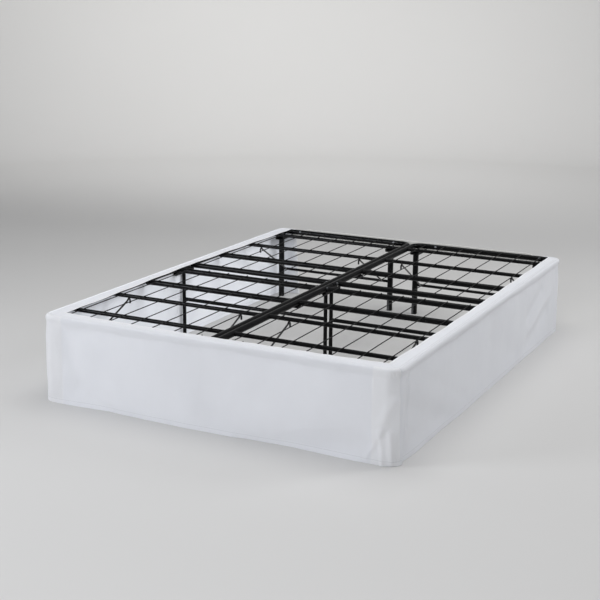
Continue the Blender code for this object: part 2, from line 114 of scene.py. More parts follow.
# Each top band is narrower away from the corners: (place along the band, outer face to inner edge).
BAND_WIDTHS = {
    "foot": ((-0.69, 0.072), (-0.60, 0.066), (-0.50, 0.059), (-0.30, 0.053), (-0.10, 0.052), (0.10, 0.055),
             (0.30, 0.058), (0.50, 0.061), (0.60, 0.066), (0.69, 0.072)),
    "left": ((-0.94, 0.072), (-0.85, 0.0715), (-0.70, 0.069), (-0.50, 0.063), (-0.30, 0.056), (-0.10, 0.051),
             (0.05, 0.050), (0.30, 0.054), (0.50, 0.059), (0.70, 0.065), (0.90, 0.070), (1.01, 0.072)),
    "right": ((-0.94, 0.072), (-0.85, 0.0705), (-0.70, 0.067), (-0.50, 0.063), (-0.30, 0.061), (0.0, 0.0605),
              (0.30, 0.060), (0.80, 0.061), (1.01, 0.062)),
}
BAND_WIDTH = BAND_WIDTHS["foot"][0][1]  # at the corners
FOOT_CORNER, HEAD_CORNER = 0.055, 0.045
FOOT_RUN = HALF_WIDTH - FOOT_CORNER
FOOT_ARC = FOOT_CORNER * math.pi / 2
SIDE_RUN = 2 * HALF_LENGTH - FOOT_CORNER - HEAD_CORNER
HEAD_ARC = HEAD_CORNER * math.pi / 2
SIDE_START = FOOT_RUN + FOOT_ARC
SIDE_END = SIDE_START + SIDE_RUN
RETURN_START = SIDE_END + HEAD_ARC
RETURN_TOP, RETURN_FLOOR = 0.094, 0.112
MITRE = FOOT_RUN + FOOT_ARC / 2
WRAP = FOOT_RUN + FOOT_CORNER * math.radians(62)
SPLIT_CORNER = 0.745  # along the cloth, the middle of the foot corner's split
# The free edge of the foot drop stands out from this place on, most at mid height.
LIFT_START, LIFT_REACH = 0.732, 0.034
# Where the foot drop's free edge lies along the cloth, by height.
EDGE_HEIGHTS = (0.0, 0.10, 0.20, 0.29, 0.325)
EDGE_PLACES = (0.7760, 0.7680, 0.7640, 0.7640, WRAP)
UNDERLAP = 0.045
LAP_GAP = 0.0006
SEAM_DIP, SEAM_WIDTH = 0.0006, 0.0022
HEM_STITCH, SEAM_STITCH = 0.002, 0.004  # the stitches' distance from the hem's and the seam's edge
BAND_HEM, BAND_INSET = 0.012, SHOULDER + 0.0003
OUTWARD_LIMIT = 0.0050  # how far the cloth stands out of its outline, past the flare
DROP_LENGTH = SHOULDER_Z + SHOULDER * math.pi / 2
CREASE_Z = RAIL_TOP - 2 * RAIL_RADIUS - 0.007

# Folds of the hanging cloth: soft troughs, or ridges where the depth is below zero, each along a line on
# the cloth. On the foot drop, along runs from the middle of the foot to the right. On a side drop it runs
# from the start of the side's straight face, near the foot, towards the head.
FOLDS = (
    # (drop, along and height of the upper end, the same of the lower end, half width, depth)
    ("foot", (-0.690, 0.290), (-0.668, 0.120), 0.030, -0.0030),
    ("foot", (-0.640, 0.280), (-0.590, 0.100), 0.032, 0.0056),
    ("foot", (-0.560, 0.250), (-0.510, 0.130), 0.110, 0.0045),
    ("foot", (-0.590, 0.060), (-0.460, 0.000), 0.044, 0.0075),
    ("foot", (-0.450, -0.010), (-0.330, -0.030), 0.040, 0.0080),
    ("foot", (0.660, 0.075), (0.180, -0.030), 0.052, 0.0150),
    ("foot", (0.560, 0.120), (0.300, 0.055), 0.014, -0.0010),
    ("foot", (0.707, 0.135), (0.646, 0.020), 0.011, -0.0062),
    ("foot", (0.699, 0.120), (0.709, 0.000), 0.010, -0.0060),
    ("foot", (0.745, 0.240), (0.672, 0.100), 0.020, -0.0066),
    ("foot", (0.735, 0.120), (0.742, 0.010), 0.010, -0.0048),
    ("foot", (0.730, 0.000), (0.760, -0.020), 0.036, 0.0080),
    ("right", (0.041, 0.335), (0.043, 0.120), 0.0075, 0.0050),
    ("right", (0.022, 0.300), (0.020, 0.060), 0.0085, 0.0036),
    ("right", (0.000, 0.000), (0.070, -0.020), 0.040, 0.0070),
    ("right", (0.050, 0.190), (0.480, 0.005), 0.040, 0.0070),
    ("right", (0.000, 0.040), (0.320, -0.020), 0.110, 0.0150),
    ("right", (0.180, 0.270), (0.640, 0.060), 0.030, 0.0030),
    ("right", (0.520, 0.300), (0.545, 0.060), 0.034, 0.0015),
    ("right", (0.765, 0.180), (0.775, 0.000), 0.030, 0.0024),
    ("right", (0.960, 0.220), (1.300, 0.050), 0.050, 0.0075),
    ("right", (1.660, 0.262), (1.450, 0.190), 0.028, 0.0078),
    ("right", (1.800, 0.222), (1.460, 0.120), 0.026, -0.0060),
    ("right", (1.750, 0.150), (1.440, 0.040), 0.034, 0.0105),
    ("left", (0.340, 0.320), (0.370, 0.060), 0.030, 0.0060),
    ("left", (0.760, 0.300), (0.700, 0.040), 0.034, 0.0050),
    ("left", (1.310, 0.310), (1.340, 0.050), 0.028, 0.0065),
    ("left", (1.560, 0.310), (1.600, 0.080), 0.026, 0.0060),
    ("left", (1.700, 0.240), (1.480, 0.100), 0.024, -0.0040),
    ("left", (1.880, 0.310), (1.870, 0.050), 0.024, -0.0050),
)
# Waves that make the cloth uneven: (wave length along, wave height, phase, size).
WAVES = (
    (0.310, 0.900, 0.4, 0.0010),
    (0.173, -0.520, 2.1, 0.0006),
    (0.097, 0.310, 4.0, 0.0003),
    (0.071, -0.190, 1.2, 0.00022),
    (0.043, 0.210, 5.1, 0.00012),
)
CREASE_SHARE = {"foot": 0.75, "left": 0.9, "right": 1.1}

# The camera of the photograph.
CAMERA_PLACE = (2.262, -4.706, 1.637)
CAMERA_YAW, CAMERA_PITCH, CAMERA_ROLL = 0.4705, 0.2547, 0.0087
CAMERA_LENS = 73.7


def linear(colour):
    """Linear red, green, blue and alpha of an sRGB hex colour."""
    values = [int(colour[i : i + 2], 16) / 255 for i in (1, 3, 5)]
    return [v / 12.92 if v <= 0.04045 else ((v + 0.055) / 1.055) ** 2.4 for v in values] + [1.0]


def colour_property(name, description, default):
    value = linear(default)
    return bpy.props.FloatVectorProperty(
        name=name, description=description, default=value, size=4, min=0, max=1, subtype="COLOR"
    )


def length_property(name, description, default):
    kind = {"precision": 4, "subtype": "DISTANCE", "unit": "LENGTH"}
    return bpy.props.FloatProperty(name=name, description=description, default=default, min=0, **kind)


def power_property(name, description, default):
    return bpy.props.FloatProperty(name=name, description=description, default=default, min=0, unit="POWER")


class BedSkirtSettings(bpy.types.PropertyGroup):
    """Sizes and colours of the skirt."""

    cloth: colour_property("Cloth", "Colour of the woven cloth", "#e9ebf1")
    lined: colour_property("Doubled cloth", "Colour where two layers of cloth lie together", "#f0f1f5")
    elastic: colour_property("Elastic", "Colour of the elastic across the head", "#fbfaf6")
    thread_pitch: length_property("Thread pitch", "Distance between drawn threads of the weave", 0.0011)
    hem: length_property("Hem", "Depth of the hem on the floor", 0.020)
    grid: length_property("Cloth grid", "Distance between points of the cloth's surface", 0.006)
    crease: length_property("Crease", "How far the cloth is drawn in under the rail", 0.0062)
    flare: length_property("Flare", "How far the hem stands out", 0.003)
    corner_lift: length_property("Corner lift", "How far the free edge stands out at the corner", 0.0075)


class BedFrameSettings(bpy.types.PropertyGroup):
    """Colours and finish of the frame."""

    coat: colour_property("Coat", "Colour of the powder coat", "#060607")
    dust: colour_property("Dust", "Colour of the faint dust on upward faces", "#111112")
    zinc: colour_property("Bolts", "Colour of the zinc-plated bolts", "#7c7e80")
    peel_pitch: length_property("Orange peel", "Distance between the bumps of the coat", 0.0018)


class StudioSettings(bpy.types.PropertyGroup):
    """Floor and light."""

    floor: colour_property("Floor", "Colour of the floor and backdrop", "#d6d5d3")
    front: power_property("Front light", "Power of the large light in front, to the left", 54.9)
    right: power_property("Right light", "Power of the light on the right", 63.0)
    overhead: power_property("Overhead light", "Power of the light overhead", 93.7)
    inside: power_property("Inside light", "Power of the light on the inner side of the left drop", 54.0)
    corner: power_property("Corner light", "Power of the light that faces the near corner", 47.0)
    back: power_property("Backdrop light", "Power of the light on the backdrop", 106.9)
    sky: bpy.props.FloatProperty(
        name="Sky", description="Strength of the even light all around", default=0.30, min=0, subtype="FACTOR"
    )


# ---------------------------------------------------------------------------------------------- materials


def set_inputs(tree, node, inputs):
    """Gives a node its inputs. One given as a socket is linked, and any other is set."""
    for name, value in inputs.items():
        if isinstance(value, bpy.types.NodeSocket):
            tree.links.new(value, node.inputs[name])
        else:
            node.inputs[name].default_value = value


def add_node(tree, kind, inputs, **settings):
    """Adds a shader node with its settings and inputs."""
    node = tree.nodes.new("ShaderNode" + kind)
    for name, value in settings.items():
        setattr(node, name, value)
    set_inputs(tree, node, inputs)
    return node


def maths(tree, operation, *values):
    """The result of a sum on some values or sockets."""
    return add_node(tree, "Math", dict(enumerate(values)), operation=operation).outputs[0]


def mixed(tree, factor, first, second, blend="MIX"):
    """Two colours mixed by a factor."""
    inputs = {"Factor": factor, "A": first, "B": second}
    return add_node(tree, "Mix", inputs, data_type="RGBA", blend_type=blend).outputs["Result"]


def ranged(tree, value, low, high, to_low, to_high, kind="LINEAR"):
    """A value carried over from one range to another."""
    inputs = {"Value": value, "From Min": low, "From Max": high, "To Min": to_low, "To Max": to_high}
    return add_node(tree, "MapRange", inputs, interpolation_type=kind).outputs["Result"]


def noise(tree, place, size, detail, **more):
    """Noise whose largest blotches are one size across, in metres."""
    inputs = {"Vector": place, "Scale": 1 / size, "Detail": detail, **more}
    return add_node(tree, "TexNoise", inputs).outputs["Fac"]


def waves(tree, place, pitch, direction):
    """Waves one pitch apart, in metres."""
    inputs = {"Vector": place, "Scale": math.pi / 10 / pitch}
    return add_node(tree, "TexWave", inputs, bands_direction=direction).outputs["Fac"]


def bumped(tree, height, strength, distance):
    """The normal of a surface raised by a height of 0 to 1, times the distance in metres."""
    inputs = {"Height": height, "Strength": strength, "Distance": distance}
    return add_node(tree, "Bump", inputs).outputs["Normal"]


def attribute(tree, name):
    """A value stored at the points of the cloth."""
    return add_node(tree, "Attribute", {}, attribute_name=name).outputs["Fac"]


def cloth_place(tree):
    """The place on the cloth, in metres along and across it."""
    return add_node(tree, "UVMap", {}, uv_map="cloth").outputs["UV"]


def object_place(tree):
    """The place on the object, in metres."""
    return add_node(tree, "TexCoord", {}).outputs["Object"]


def made(name, looks):
    """A material by its name. When it is new, looks gives the inputs of its shader from its node tree."""
    material = bpy.data.materials.get(name)
    if material is None:
        material = bpy.data.materials.new(name)
        material.use_nodes = True
        tree = material.node_tree
        set_inputs(tree, tree.nodes["Principled BSDF"], looks(tree))
    return material


def plain_weave(settings):
    """Plain-woven polyester and cotton, bleached: matt, faintly soft at grazing angles, cool white."""

    def looks(tree):
        place = cloth_place(tree)
        # The real threads lie about 0.35 mm apart. They are drawn three times as coarse, so that they show.
        warp, weft = (waves(tree, place, settings.thread_pitch, way) for way in "XY")
        threads = maths(tree, "MULTIPLY", warp, weft)
        slubs = noise(tree, place, 0.00625, 3.0)
        weave = maths(tree, "MULTIPLY_ADD", slubs, 1.5, threads)
        shade = ranged(tree, noise(tree, place, 0.2, 2.0, Roughness=0.4), 0.3, 0.7, 0.965, 1.0)
        colour = mixed(tree, attribute(tree, "doubled"), settings.cloth[:], settings.lined[:])
        toned = mixed(tree, 1.0, colour, shade, "MULTIPLY")
        # Lock stitches 3 mm long sit 1 mm wide on the hems and seams, each pulled a little into the cloth.
        away = maths(tree, "ABSOLUTE", attribute(tree, "stitch_row"))
        row = ranged(tree, away, 0.0004, 0.0009, 1.0, 0.0, "SMOOTHSTEP")
        dashes = maths(tree, "GREATER_THAN", waves(tree, place, 0.003, "X"), 0.25)
        stitch = maths(tree, "MULTIPLY", row, dashes)
        pulled = maths(tree, "MULTIPLY_ADD", stitch, -3.0, weave)
        return {
            "Base Color": mixed(tree, stitch, toned, linear("#c9cbd0")),
            "Normal": bumped(tree, pulled, 0.35, 0.00025),
            "Roughness": 0.9,
            "IOR": 1.46,
            "Sheen Weight": 0.15,
            "Sheen Roughness": 0.6,
            # Some light passes through a single layer, as it does through sheeting.
            "Subsurface Weight": 0.55,
            "Subsurface Radius": (1.0, 1.0, 1.0),
            "Subsurface Scale": 0.004,
        }

    return made("plain_woven_polyester_cotton", looks)


def ribbed_elastic(settings):
    """Woven elastic of rubber and polyester: lengthwise ribs with a fine cross knit, off-white, matt."""

    def looks(tree):
        place = cloth_place(tree)
        ribs = waves(tree, place, 0.0024, "Y")
        height = maths(tree, "MULTIPLY_ADD", waves(tree, place, 0.0012, "X"), 0.3, ribs)
        return {
            "Base Color": mixed(tree, ribs, linear("#f1efe9"), settings.elastic[:]),
            "Normal": bumped(tree, height, 0.5, 0.0004),
            "Roughness": 0.85,
            "Sheen Weight": 0.1,
        }

    return made("woven_elastic", looks)


def coated_steel(settings, name, gloss, roughness):
    """Black polyester powder coat on steel: a clear skin over matt pigment, orange peel and faint dust."""

    def looks(tree):
        place = object_place(tree)
        facing = add_node(tree, "SeparateXYZ", {0: add_node(tree, "NewGeometry", {}).outputs["Normal"]})
        upward = ranged(tree, facing.outputs["Z"], 0.5, 1.0, 0.0, 0.6)
        settled = maths(tree, "MULTIPLY", upward, noise(tree, place, 1 / 14, 4.0))
        peel = bumped(tree, noise(tree, place, settings.peel_pitch, 1.0), 0.25, 0.0001)
        return {
            "Base Color": mixed(tree, settled, settings.coat[:], settings.dust[:]),
            "Normal": peel,
            "Coat Normal": peel,
            "Roughness": 0.5,
            "Specular IOR Level": 0.05,
            "Coat Weight": gloss,
            "Coat Roughness": roughness,
        }

    return made(name, looks)


def powder_coat(settings):
    """The semi-gloss coat of the tubes, wires and legs."""
    return coated_steel(settings, "black_powder_coated_steel", 0.24, 0.14)


def glossy_coat(settings):
    """The glossier coat of the thin rods, which were dipped in enamel."""
    return coated_steel(settings, "black_enamelled_rod", 1.0, 0.10)


def zinc_plate(settings):
    """Zinc-plated steel bolts: bright, a little cloudy, with the grain of a fine plating."""

    def looks(tree):
        cloud = noise(tree, object_place(tree), 0.0025, 3.0)
        return {
            "Base Color": mixed(tree, cloud, linear("#5a5c5e"), settings.zinc[:]),
            "Roughness": ranged(tree, cloud, 0.0, 1.0, 0.30, 0.50),
            "Metallic": 1.0,
        }

    return made("zinc_plated_steel", looks)


def painted_floor(settings):
    """Painted studio floor: pale, matt, with a slow variation in tone and a faint roller texture."""

    def looks(tree):
        place = object_place(tree)
        darker = [v * 0.97 for v in settings.floor[:3]] + [1.0]
        return {
            "Base Color": mixed(tree, noise(tree, place, 1 / 0.6, 2.0), settings.floor[:], darker),
            "Normal": bumped(tree, noise(tree, place, 0.004, 1.0), 0.1, 0.0005),
            "Roughness": 0.75,
        }

    return made("painted_studio_floor", looks)


# ----------------------------------------------------------------------------------------------- surfaces


def smooth_step(low, high, value):
    """0 below low, 1 above high, and the cubic 3t^2 - 2t^3 between them."""
    t = np.clip((value - low) / (high - low), 0, 1)
    return t * t * (3 - 2 * t)


def bell(value, middle, width):
    """A bell curve of height 1: e to the minus square of the distance from the middle, in widths."""
    return np.exp(-(((value - middle) / width) ** 2))


def grid_faces(columns, rows, around=False):
    """Quads of a grid whose points are counted row by row within each column. Around closes the rows."""
    column, row = np.meshgrid(np.arange(columns - 1), np.arange(rows if around else rows - 1), indexing="ij")
    column, row = column.ravel(), row.ravel()
    above = (row + 1) % rows
    first, second = column * rows, (column + 1) * rows
    return np.stack([first + row, first + above, second + above, second + row], axis=1)


def closed_faces(rings, sides):
    """Quads between rings of points, and a face on the first and on the last ring."""
    faces = grid_faces(rings, sides, around=True).tolist()
    last = (rings - 1) * sides
    return faces + [list(range(sides))[::-1], [last + i for i in range(sides)]]


def add_piece(name, points, faces, material, replaces=(), slot=None):
    """Makes a mesh piece from arrays, smooth but for sharp edges, and lets it stand for its frame nodes."""
    mesh = bpy.data.meshes.new(name)
    mesh.from_pydata(points.tolist(), [], faces)
    mesh.update()
    mesh.shade_smooth()
    mesh.set_sharp_from_angle(angle=math.radians(42))
    mesh.materials.append(material)
    piece = bpy.data.objects.new(name, mesh)
    bpy.context.scene.collection.objects.link(piece)
    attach(piece, "root")
    if replaces:
        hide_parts(*replaces)
    return piece


def merged(parts):
    """One set of points and faces from several."""
    points, faces, count = [], [], 0
    for part_points, part_faces in parts:
        points.append(part_points)
        faces.extend([[i + count for i in face] for face in part_faces])
        count += len(part_points)
    return np.concatenate(points), faces


def carried(path, profile, across, scale=None):
    """A closed profile carried along a path, as points and faces with both ends closed.

    Each path point has a tangent t. The first profile axis is the across direction less its share along
    t, the second is t x first. A ring is the point plus the profile's two coordinates along those axes,
    times the ring's scale.
    """
    path = np.asarray(path, float)
    tangent = np.gradient(path, axis=0)
    tangent /= np.linalg.norm(tangent, axis=1)[:, None]
    first = np.asarray(across, float) - (tangent @ np.asarray(across, float))[:, None] * tangent
    first /= np.linalg.norm(first, axis=1)[:, None]
    second = np.cross(tangent, first)
    scale = np.ones(len(path)) if scale is None else scale
    ring = profile[None, :, 0, None] * first[:, None] + profile[None, :, 1, None] * second[:, None]
    points = (path[:, None] + ring * scale[:, None, None]).reshape(-1, 3)
    return points, closed_faces(len(path), len(profile))


def circle(radius, sides):
    """A round profile: radius times the cosine and sine of equal steps of a turn."""
    turn = np.linspace(0, 2 * math.pi, sides, endpoint=False)
    return radius * np.stack([np.cos(turn), np.sin(turn)], axis=1)


def rounded_box(width, depth, corner):
    """A rectangular profile with round corners: four quarter circles about the corner centres."""
    parts = []
    for quarter, (side_x, side_y) in enumerate(((1, 1), (-1, 1), (-1, -1), (1, -1))):
        turn = math.pi / 2 * (quarter + np.linspace(0, 1, CORNER_STEPS + 1))
        middle = (side_x * (width / 2 - corner), side_y * (depth / 2 - corner))
        parts.append(np.stack([middle[0] + corner * np.cos(turn), middle[1] + corner * np.sin(turn)], axis=1))
    return np.concatenate(parts)


def channel(width, height, corner=0.004):
    """A folded channel's profile, open below: a rounded outside, then the inside, one sheet in from it."""
    turn = np.linspace(0, math.pi / 2, CORNER_STEPS + 1)
    half, top = width / 2, height / 2
    faces = []
    for inset in (0, BRACKET_SHEET):
        round_x = half - corner + (corner - inset) * np.cos(turn)
        round_y = top - corner + (corner - inset) * np.sin(turn)
        right = np.concatenate([[[half - inset, -top]], np.stack([round_x, round_y], axis=1)])
        faces.append(np.concatenate([right, right[::-1] * [-1, 1]]))
    return np.concatenate([faces[0], faces[1][::-1]])


def straight(start, end, chamfer, inner=()):
    """A straight path with a point one chamfer inside each end, and some between."""
    start, end = np.asarray(start, float), np.asarray(end, float)
    length = np.linalg.norm(end - start)
    places = np.array([0, chamfer, *inner, length - chamfer, length])
    return start + (end - start) * (places / length)[:, None]


def rod(start, end, radius, sides=24, chamfer=0.0008):
    """A level or upright round bar with rounded ends."""
    end_scale = 1 - chamfer / radius
    across = (0, 0, 1) if start[2] == end[2] else (1, 0, 0)
    path = straight(start, end, chamfer)
    return carried(path, circle(radius, sides), across, np.array([end_scale, 1, 1, end_scale]))


def arc(middle, radius, start, end, steps):
    """Points of an arc in plan: the middle plus the radius times cosine and sine, angles in degrees."""
    turn = np.radians(np.linspace(start, end, steps + 1))
    return np.stack([middle[0] + radius * np.cos(turn), middle[1] + radius * np.sin(turn)], axis=1)


def bead(centre, radii, sides=8, rings=4):
    """A weld bead: an ellipsoid, cosine and sine of latitude and longitude times its three radii."""
    latitude = np.linspace(-1, 1, rings + 2)[1:-1] * math.pi / 2
    turn = np.linspace(0, 2 * math.pi, sides, endpoint=False)
    ring = np.cos(latitude)[:, None]
    height = np.sin(latitude)[:, None] + 0 * turn
    shape = np.stack([ring * np.cos(turn), ring * np.sin(turn), height], axis=2).reshape(-1, 3)
    return np.asarray(centre) + shape * np.asarray(radii), closed_faces(rings, sides)


def bolt(place, axis):
    """A hexagon bolt head on its washer, standing on a surface along its axis."""
    axis = np.asarray(axis, float) / np.linalg.norm(axis)
    washer = place + axis * np.array([[-0.001], [0.0], [0.0012], [0.0014]])
    head = place + axis * np.array([[0.0010], [0.0042], [0.0050]])
    return merged(
        [
            carried(washer, circle(BOLT_SIZE * 1.35, 20), (0, 0, 1), np.array([1, 1, 1, 0.95])),
            carried(head, circle(BOLT_SIZE, 6), (0, 0, 1), np.array([1, 1, 0.86])),
        ]
    )


# -------------------------------------------------------------------------------------------------- skirt


def outline(along, inset):
    """Plan position of points by their distance along the skirt's outer face, and their set-in.

    The distance starts at the middle of the foot and grows to the right: along the foot, round the foot
    corner, along the side, round the head corner and back along the head. Below zero it runs to the left.
    Each corner adds its radius times the sine and one minus the cosine of the turn so far.
    """
    side = np.where(along < 0, -1.0, 1.0)
    distance = np.abs(along)
    foot_turn = np.clip((distance - FOOT_RUN) / FOOT_CORNER, 0, math.pi / 2)
    head_turn = np.clip((distance - SIDE_END) / HEAD_CORNER, 0, math.pi / 2)
    x = np.minimum(distance, FOOT_RUN) + FOOT_CORNER * np.sin(foot_turn)
    y = -HALF_LENGTH + FOOT_CORNER * (1 - np.cos(foot_turn))
    y = y + np.clip(distance - SIDE_START, 0, SIDE_RUN) + HEAD_CORNER * np.sin(head_turn)
    x = x - HEAD_CORNER * (1 - np.cos(head_turn)) - np.maximum(distance - RETURN_START, 0)
    turn = foot_turn + head_turn
    return side * (x - inset * np.sin(turn)), y + inset * np.cos(turn)


def fold_depth(drop, along, height):
    """Set-in of a drop's folds: the sum of bell-shaped troughs about straight lines on the cloth."""
    depth = np.zeros_like(along)
    for name, upper, lower, half_width, size in FOLDS:
        if name != drop:
            continue
        line_along, line_up = lower[0] - upper[0], lower[1] - upper[1]
        run_along, run_up = along - upper[0], height - upper[1]
        place = np.clip((run_along * line_along + run_up * line_up) / (line_along**2 + line_up**2), 0, 1)
        across = np.hypot(run_along - place * line_along, run_up - place * line_up)
        depth += size * bell(across, 0, half_width)
    return depth


def uneven(along, height):
    """Slow waves over the cloth: sines of the distance along and the height, each with its own phase."""
    total = np.zeros_like(along)
    for length, tall, phase, size in WAVES:
        total += size * np.sin(2 * math.pi * (along / length + height / tall) + phase)
    return total


def clear_of_legs(inset, along):
    """Set-in kept off the middle legs: the room there times the hyperbolic tangent of their ratio."""
    from_fold = np.abs(along - SIDE_START + FOOT_CORNER - HALF_LENGTH - FOLD_ROW)
    room = 0.0042 + 0.0080 * smooth_step(0.085, 0.22, from_fold)
    room = room + 0.0100 * smooth_step(0.22, 0.60, from_fold)
    return np.where(inset > 0, room * np.tanh(inset / room), inset)


def hang(drop, along, row, settings):
    """Set-in, height and along shift of a drop's points. Row is the distance up the cloth from the hem.

    Below the shoulder the height is the row. Above it the cloth turns over the rail as a superellipse.
    The set-in adds the crease under the rail, the folds, the slow waves, the flare and the hem's step.
    """
    turn = np.clip((row - SHOULDER_Z) / SHOULDER, 0, math.pi / 2)
    power = 2 / 2.6
    turn_inset = SHOULDER * (1 - np.cos(turn) ** power)
    height = np.where(row < SHOULDER_Z, row, SKIRT_TOP - SHOULDER * (1 - np.sin(turn) ** power))
    height = np.maximum(height, 0.0006)
    if drop == "foot":
        folds = fold_depth("foot", along, height)
        face = along
    else:
        side = 1 if drop == "right" else -1
        folds = fold_depth(drop, along - SIDE_START, height)
        behind = np.clip((SIDE_START - along) / 0.005, 0, 1)
        folds = folds * (1 - behind) + behind * fold_depth("foot", side * along, height)
        face = side * along
    calm = smooth_step(SHOULDER_Z + 0.002, SHOULDER_Z - 0.035, height)
    if drop != "foot":
        # The hem lies straighter on the floor, but for the split corner.
        on_floor = (1 - smooth_step(0, 0.08, height)) * (1 - bell(np.abs(along), SPLIT_CORNER, 0.09))
        calm = calm * (1 - 0.7 * on_floor)
    on_head = np.clip((np.abs(along) - SIDE_END) / HEAD_ARC, 0, 1)
    crease_z = CREASE_Z + 0.003 * np.sin(face * 7.0 + 0.8) + 0.0015 * np.sin(face * 23.0)
    strength = CREASE_SHARE[drop] * (0.85 + 0.22 * np.sin(face * 4.1 + 1.1) + 0.13 * np.sin(face * 11.3))
    width = np.where(height > crease_z, 0.010, 0.040)
    crease = settings.crease * strength * bell(height, crease_z, width) * (1 - on_head)
    flare = settings.flare * np.clip(1 - height / 0.25, 0, 1) ** 1.5
    turn_up = 0.0016 * np.clip(1 - height / 0.014, 0, 1) ** 2 * (0.6 + 0.4 * np.sin(face * 13.0 + 2.0))
    hem = 0.0005 * (1 - smooth_step(settings.hem - 0.001, settings.hem + 0.001, row)) + turn_up
    inset = crease + calm * (folds + uneven(face, height)) - flare - hem
    if drop != "foot":
        inset = clear_of_legs(inset, along)
    return np.maximum(inset, -settings.flare - OUTWARD_LIMIT) + turn_inset, height


def drawn_back(along, height):
    """The foot drop's distance along with its free edge drawn back below the seam, most under the rail."""
    edge = np.interp(height, EDGE_HEIGHTS, EDGE_PLACES)
    share = smooth_step(FOOT_RUN - 0.020, WRAP, np.abs(along))
    return along - np.sign(along) * share * (WRAP - edge)


def corner_pucker(along, height):
    """Small gathers where the cloth is eased round the top of a foot corner, and at its lower end."""
    at_corner = bell(np.abs(along), 0.752, 0.024)
    top = bell(height, SHOULDER_Z - 0.004, 0.012) * np.sin(np.abs(along) * 2 * math.pi / 0.0100 + height * 60)
    low = bell(height, 0.030, 0.022) * np.sin(np.abs(along) * 2 * math.pi / 0.0115 + height * 130)
    return at_corner * (0.0013 * top + 0.0009 * low)


def free_edge(along, height, settings):
    """How far the foot drop's free edge stands out: it rises to the edge, most at mid height."""
    at_right = np.where(along > 0, 1.0, 0.4)
    reach = np.clip((np.abs(along) - LIFT_START) / LIFT_REACH, 0, None) ** 1.5
    tall = smooth_step(0.06, 0.17, height) * (1 - smooth_step(0.24, 0.325, height))
    return settings.corner_lift * at_right * reach * tall


def add_sheet(
    name, columns, rows, surface, material, node, slot="cloth", left_out=None
):
    """A cloth sheet: a grid on a surface, with UV in metres of cloth, given its thickness inwards.

    The surface gives points, the distance to the nearest stitch row and the share of doubled cloth. The
    sheet stands for a node, and was cut to its flat size before it was hung.
    """
    along, row = (part.ravel() for part in np.meshgrid(columns, rows, indexing="ij"))
    points, stitch_row, doubled = surface(along, row)
    faces = grid_faces(len(columns), len(rows))[:, ::-1]
    if left_out is not None:
        faces = faces[~left_out(along[faces].mean(axis=1), row[faces].mean(axis=1))]
        used, index = np.unique(faces, return_inverse=True)
        faces, points = index.reshape(faces.shape), points[used]
        along, row, stitch_row, doubled = along[used], row[used], stitch_row[used], doubled[used]
    piece = add_piece(name, points, faces.tolist(), material, [node], slot)
    mesh = piece.data
    corners = faces.ravel()
    uv = mesh.uv_layers.new(name="cloth")
    uv.data.foreach_set("uv", np.stack([along[corners], row[corners]], axis=1).ravel().astype(np.float32))
    for label, values in (("stitch_row", stitch_row), ("doubled", doubled)):
        attribute = mesh.attributes.new(label, "FLOAT", "POINT")
        attribute.data.foreach_set("value", values.astype(np.float32))
    solid = piece.modifiers.new("thickness", "SOLIDIFY")
    solid.thickness = CLOTH
    solid.offset = -1
    solid.use_even_offset = True


def nearest_edge(*distances):
    """The smallest of some signed distances to stitch rows."""
    away = np.stack(distances)
    return np.take_along_axis(away, np.abs(away).argmin(axis=0)[None], axis=0)[0]


def steps(start, end, pitch):
    """Evenly spaced values from start to end, no more than one pitch apart."""
    return np.linspace(start, end, max(2, math.ceil(abs(end - start) / pitch) + 1))


def joined(*parts):
    """Values from several lists in order, each once."""
    return np.unique(np.round(np.concatenate(parts), 6))


def drop_rows(settings):
    """Places up the cloth of a drop: close together at the hem's edge and over the rail."""
    return joined(
        [0, 0.001, 0.003, settings.hem - 0.001, settings.hem, settings.hem + 0.001],
        steps(0.003, SHOULDER_Z - 0.04, settings.grid),
        steps(SHOULDER_Z - 0.04, SHOULDER_Z, settings.grid / 2),
        steps(SHOULDER_Z, DROP_LENGTH, settings.grid / 4),
    )


def drop_seam(row):
    """Dip of a drop's upper edge into its seam."""
    return SEAM_DIP * bell(row, DROP_LENGTH, SEAM_WIDTH)


def drop_stitches(row, settings):
    """Signed distance to the stitches of a drop's hem or seam."""
    return nearest_edge(row - settings.hem + HEM_STITCH, row - DROP_LENGTH + SEAM_STITCH)


def build_foot_drop(settings):
    """The foot drop, from one split corner round the foot to the other."""

    def surface(along, row):
        height = np.minimum(row, SHOULDER_Z)
        along = drawn_back(along, height)
        inset, height = hang("foot", along, row, settings)
        lap = smooth_step(FOOT_RUN - UNDERLAP - 0.005, FOOT_RUN - UNDERLAP + 0.005, np.abs(along))
        over = 0.0007 * lap * (1 - smooth_step(SHOULDER_Z - 0.03, SHOULDER_Z - 0.005, height))
        inset = inset - over - corner_pucker(along, height) - free_edge(along, height, settings)
        x, y = outline(along, inset)
        points = np.stack([x, y, height - drop_seam(row)], axis=1)
        return points, drop_stitches(row, settings), lap

    pitch = settings.grid
    half = joined(steps(0, FOOT_RUN - 0.06, pitch), steps(FOOT_RUN - 0.06, WRAP, pitch / 2))
    add_sheet(
        "foot_drop",
        np.concatenate([-half[:0:-1], half]),
        drop_rows(settings),
        surface,
        plain_weave(settings),
        "drop_foot",
    )


